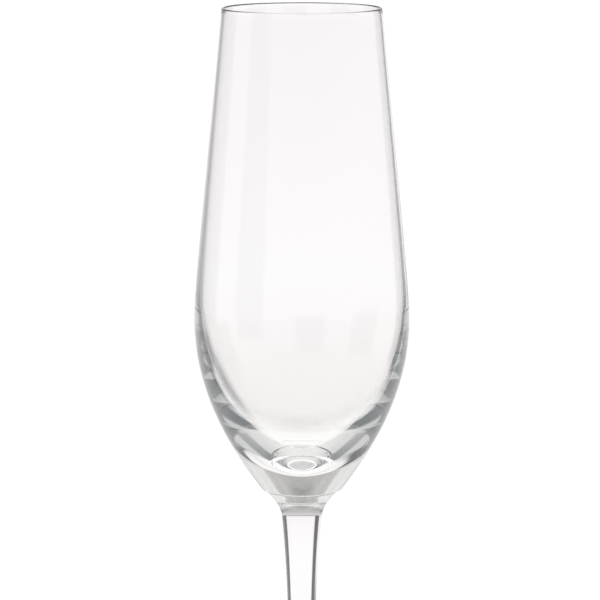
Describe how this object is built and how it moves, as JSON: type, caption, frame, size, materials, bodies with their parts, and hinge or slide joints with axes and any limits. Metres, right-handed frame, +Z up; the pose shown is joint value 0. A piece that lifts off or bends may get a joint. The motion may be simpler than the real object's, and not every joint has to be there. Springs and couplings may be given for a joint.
{
  "type": "champagne flute",
  "caption": "Tall clear glass flute: blown tulip bowl closing in at the rim, solid base, slim drawn stem and round foot.",
  "frame": {"origin": "centre of the circle that the foot stands on", "axes": "+Z up along the axis of the stem and bowl; X and Y are equal, because the glass is round"},
  "size_m": [0.066, 0.066, 0.225],
  "materials": {
    "bowl_glass": "clear fire-polished glass",
    "stem_glass": "clear fire-polished glass",
    "foot_glass": "clear fire-polished glass"
  },
  "bodies": {
    "root": {"bowl": "bowl_glass", "stem": "stem_glass", "foot": "foot_glass"}
  },
  "joints": []
}
